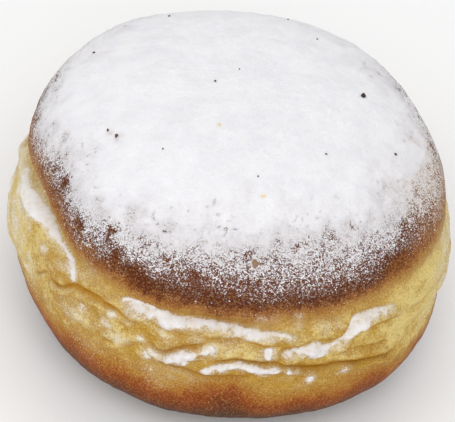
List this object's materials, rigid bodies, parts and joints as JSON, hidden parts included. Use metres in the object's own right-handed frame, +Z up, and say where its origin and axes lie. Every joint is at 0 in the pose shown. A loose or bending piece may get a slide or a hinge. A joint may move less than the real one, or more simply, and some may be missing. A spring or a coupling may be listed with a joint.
{
  "type": "filled doughnut",
  "caption": "Round jelly filled doughnut without a hole: domed browned cap, pale folded belt, browned bottom, resting on its flat spot.",
  "frame": {"origin": "centre of the outline, on the plane that the doughnut rests on", "axes": "+Z up through the cap, +X to the viewer's right and +Y away from the viewer, when the side with the widest sugared folds faces the viewer"},
  "size_m": [0.089, 0.0914, 0.0535],
  "materials": {
    "crust": "fried yeast dough: dark brown cap and bottom, pale yellow belt, satin with fine pores and wrinkles",
    "sugar": "fine white powdered sugar, matt"
  },
  "bodies": {
    "root": {"doughnut": "crust"}
  },
  "joints": []
}
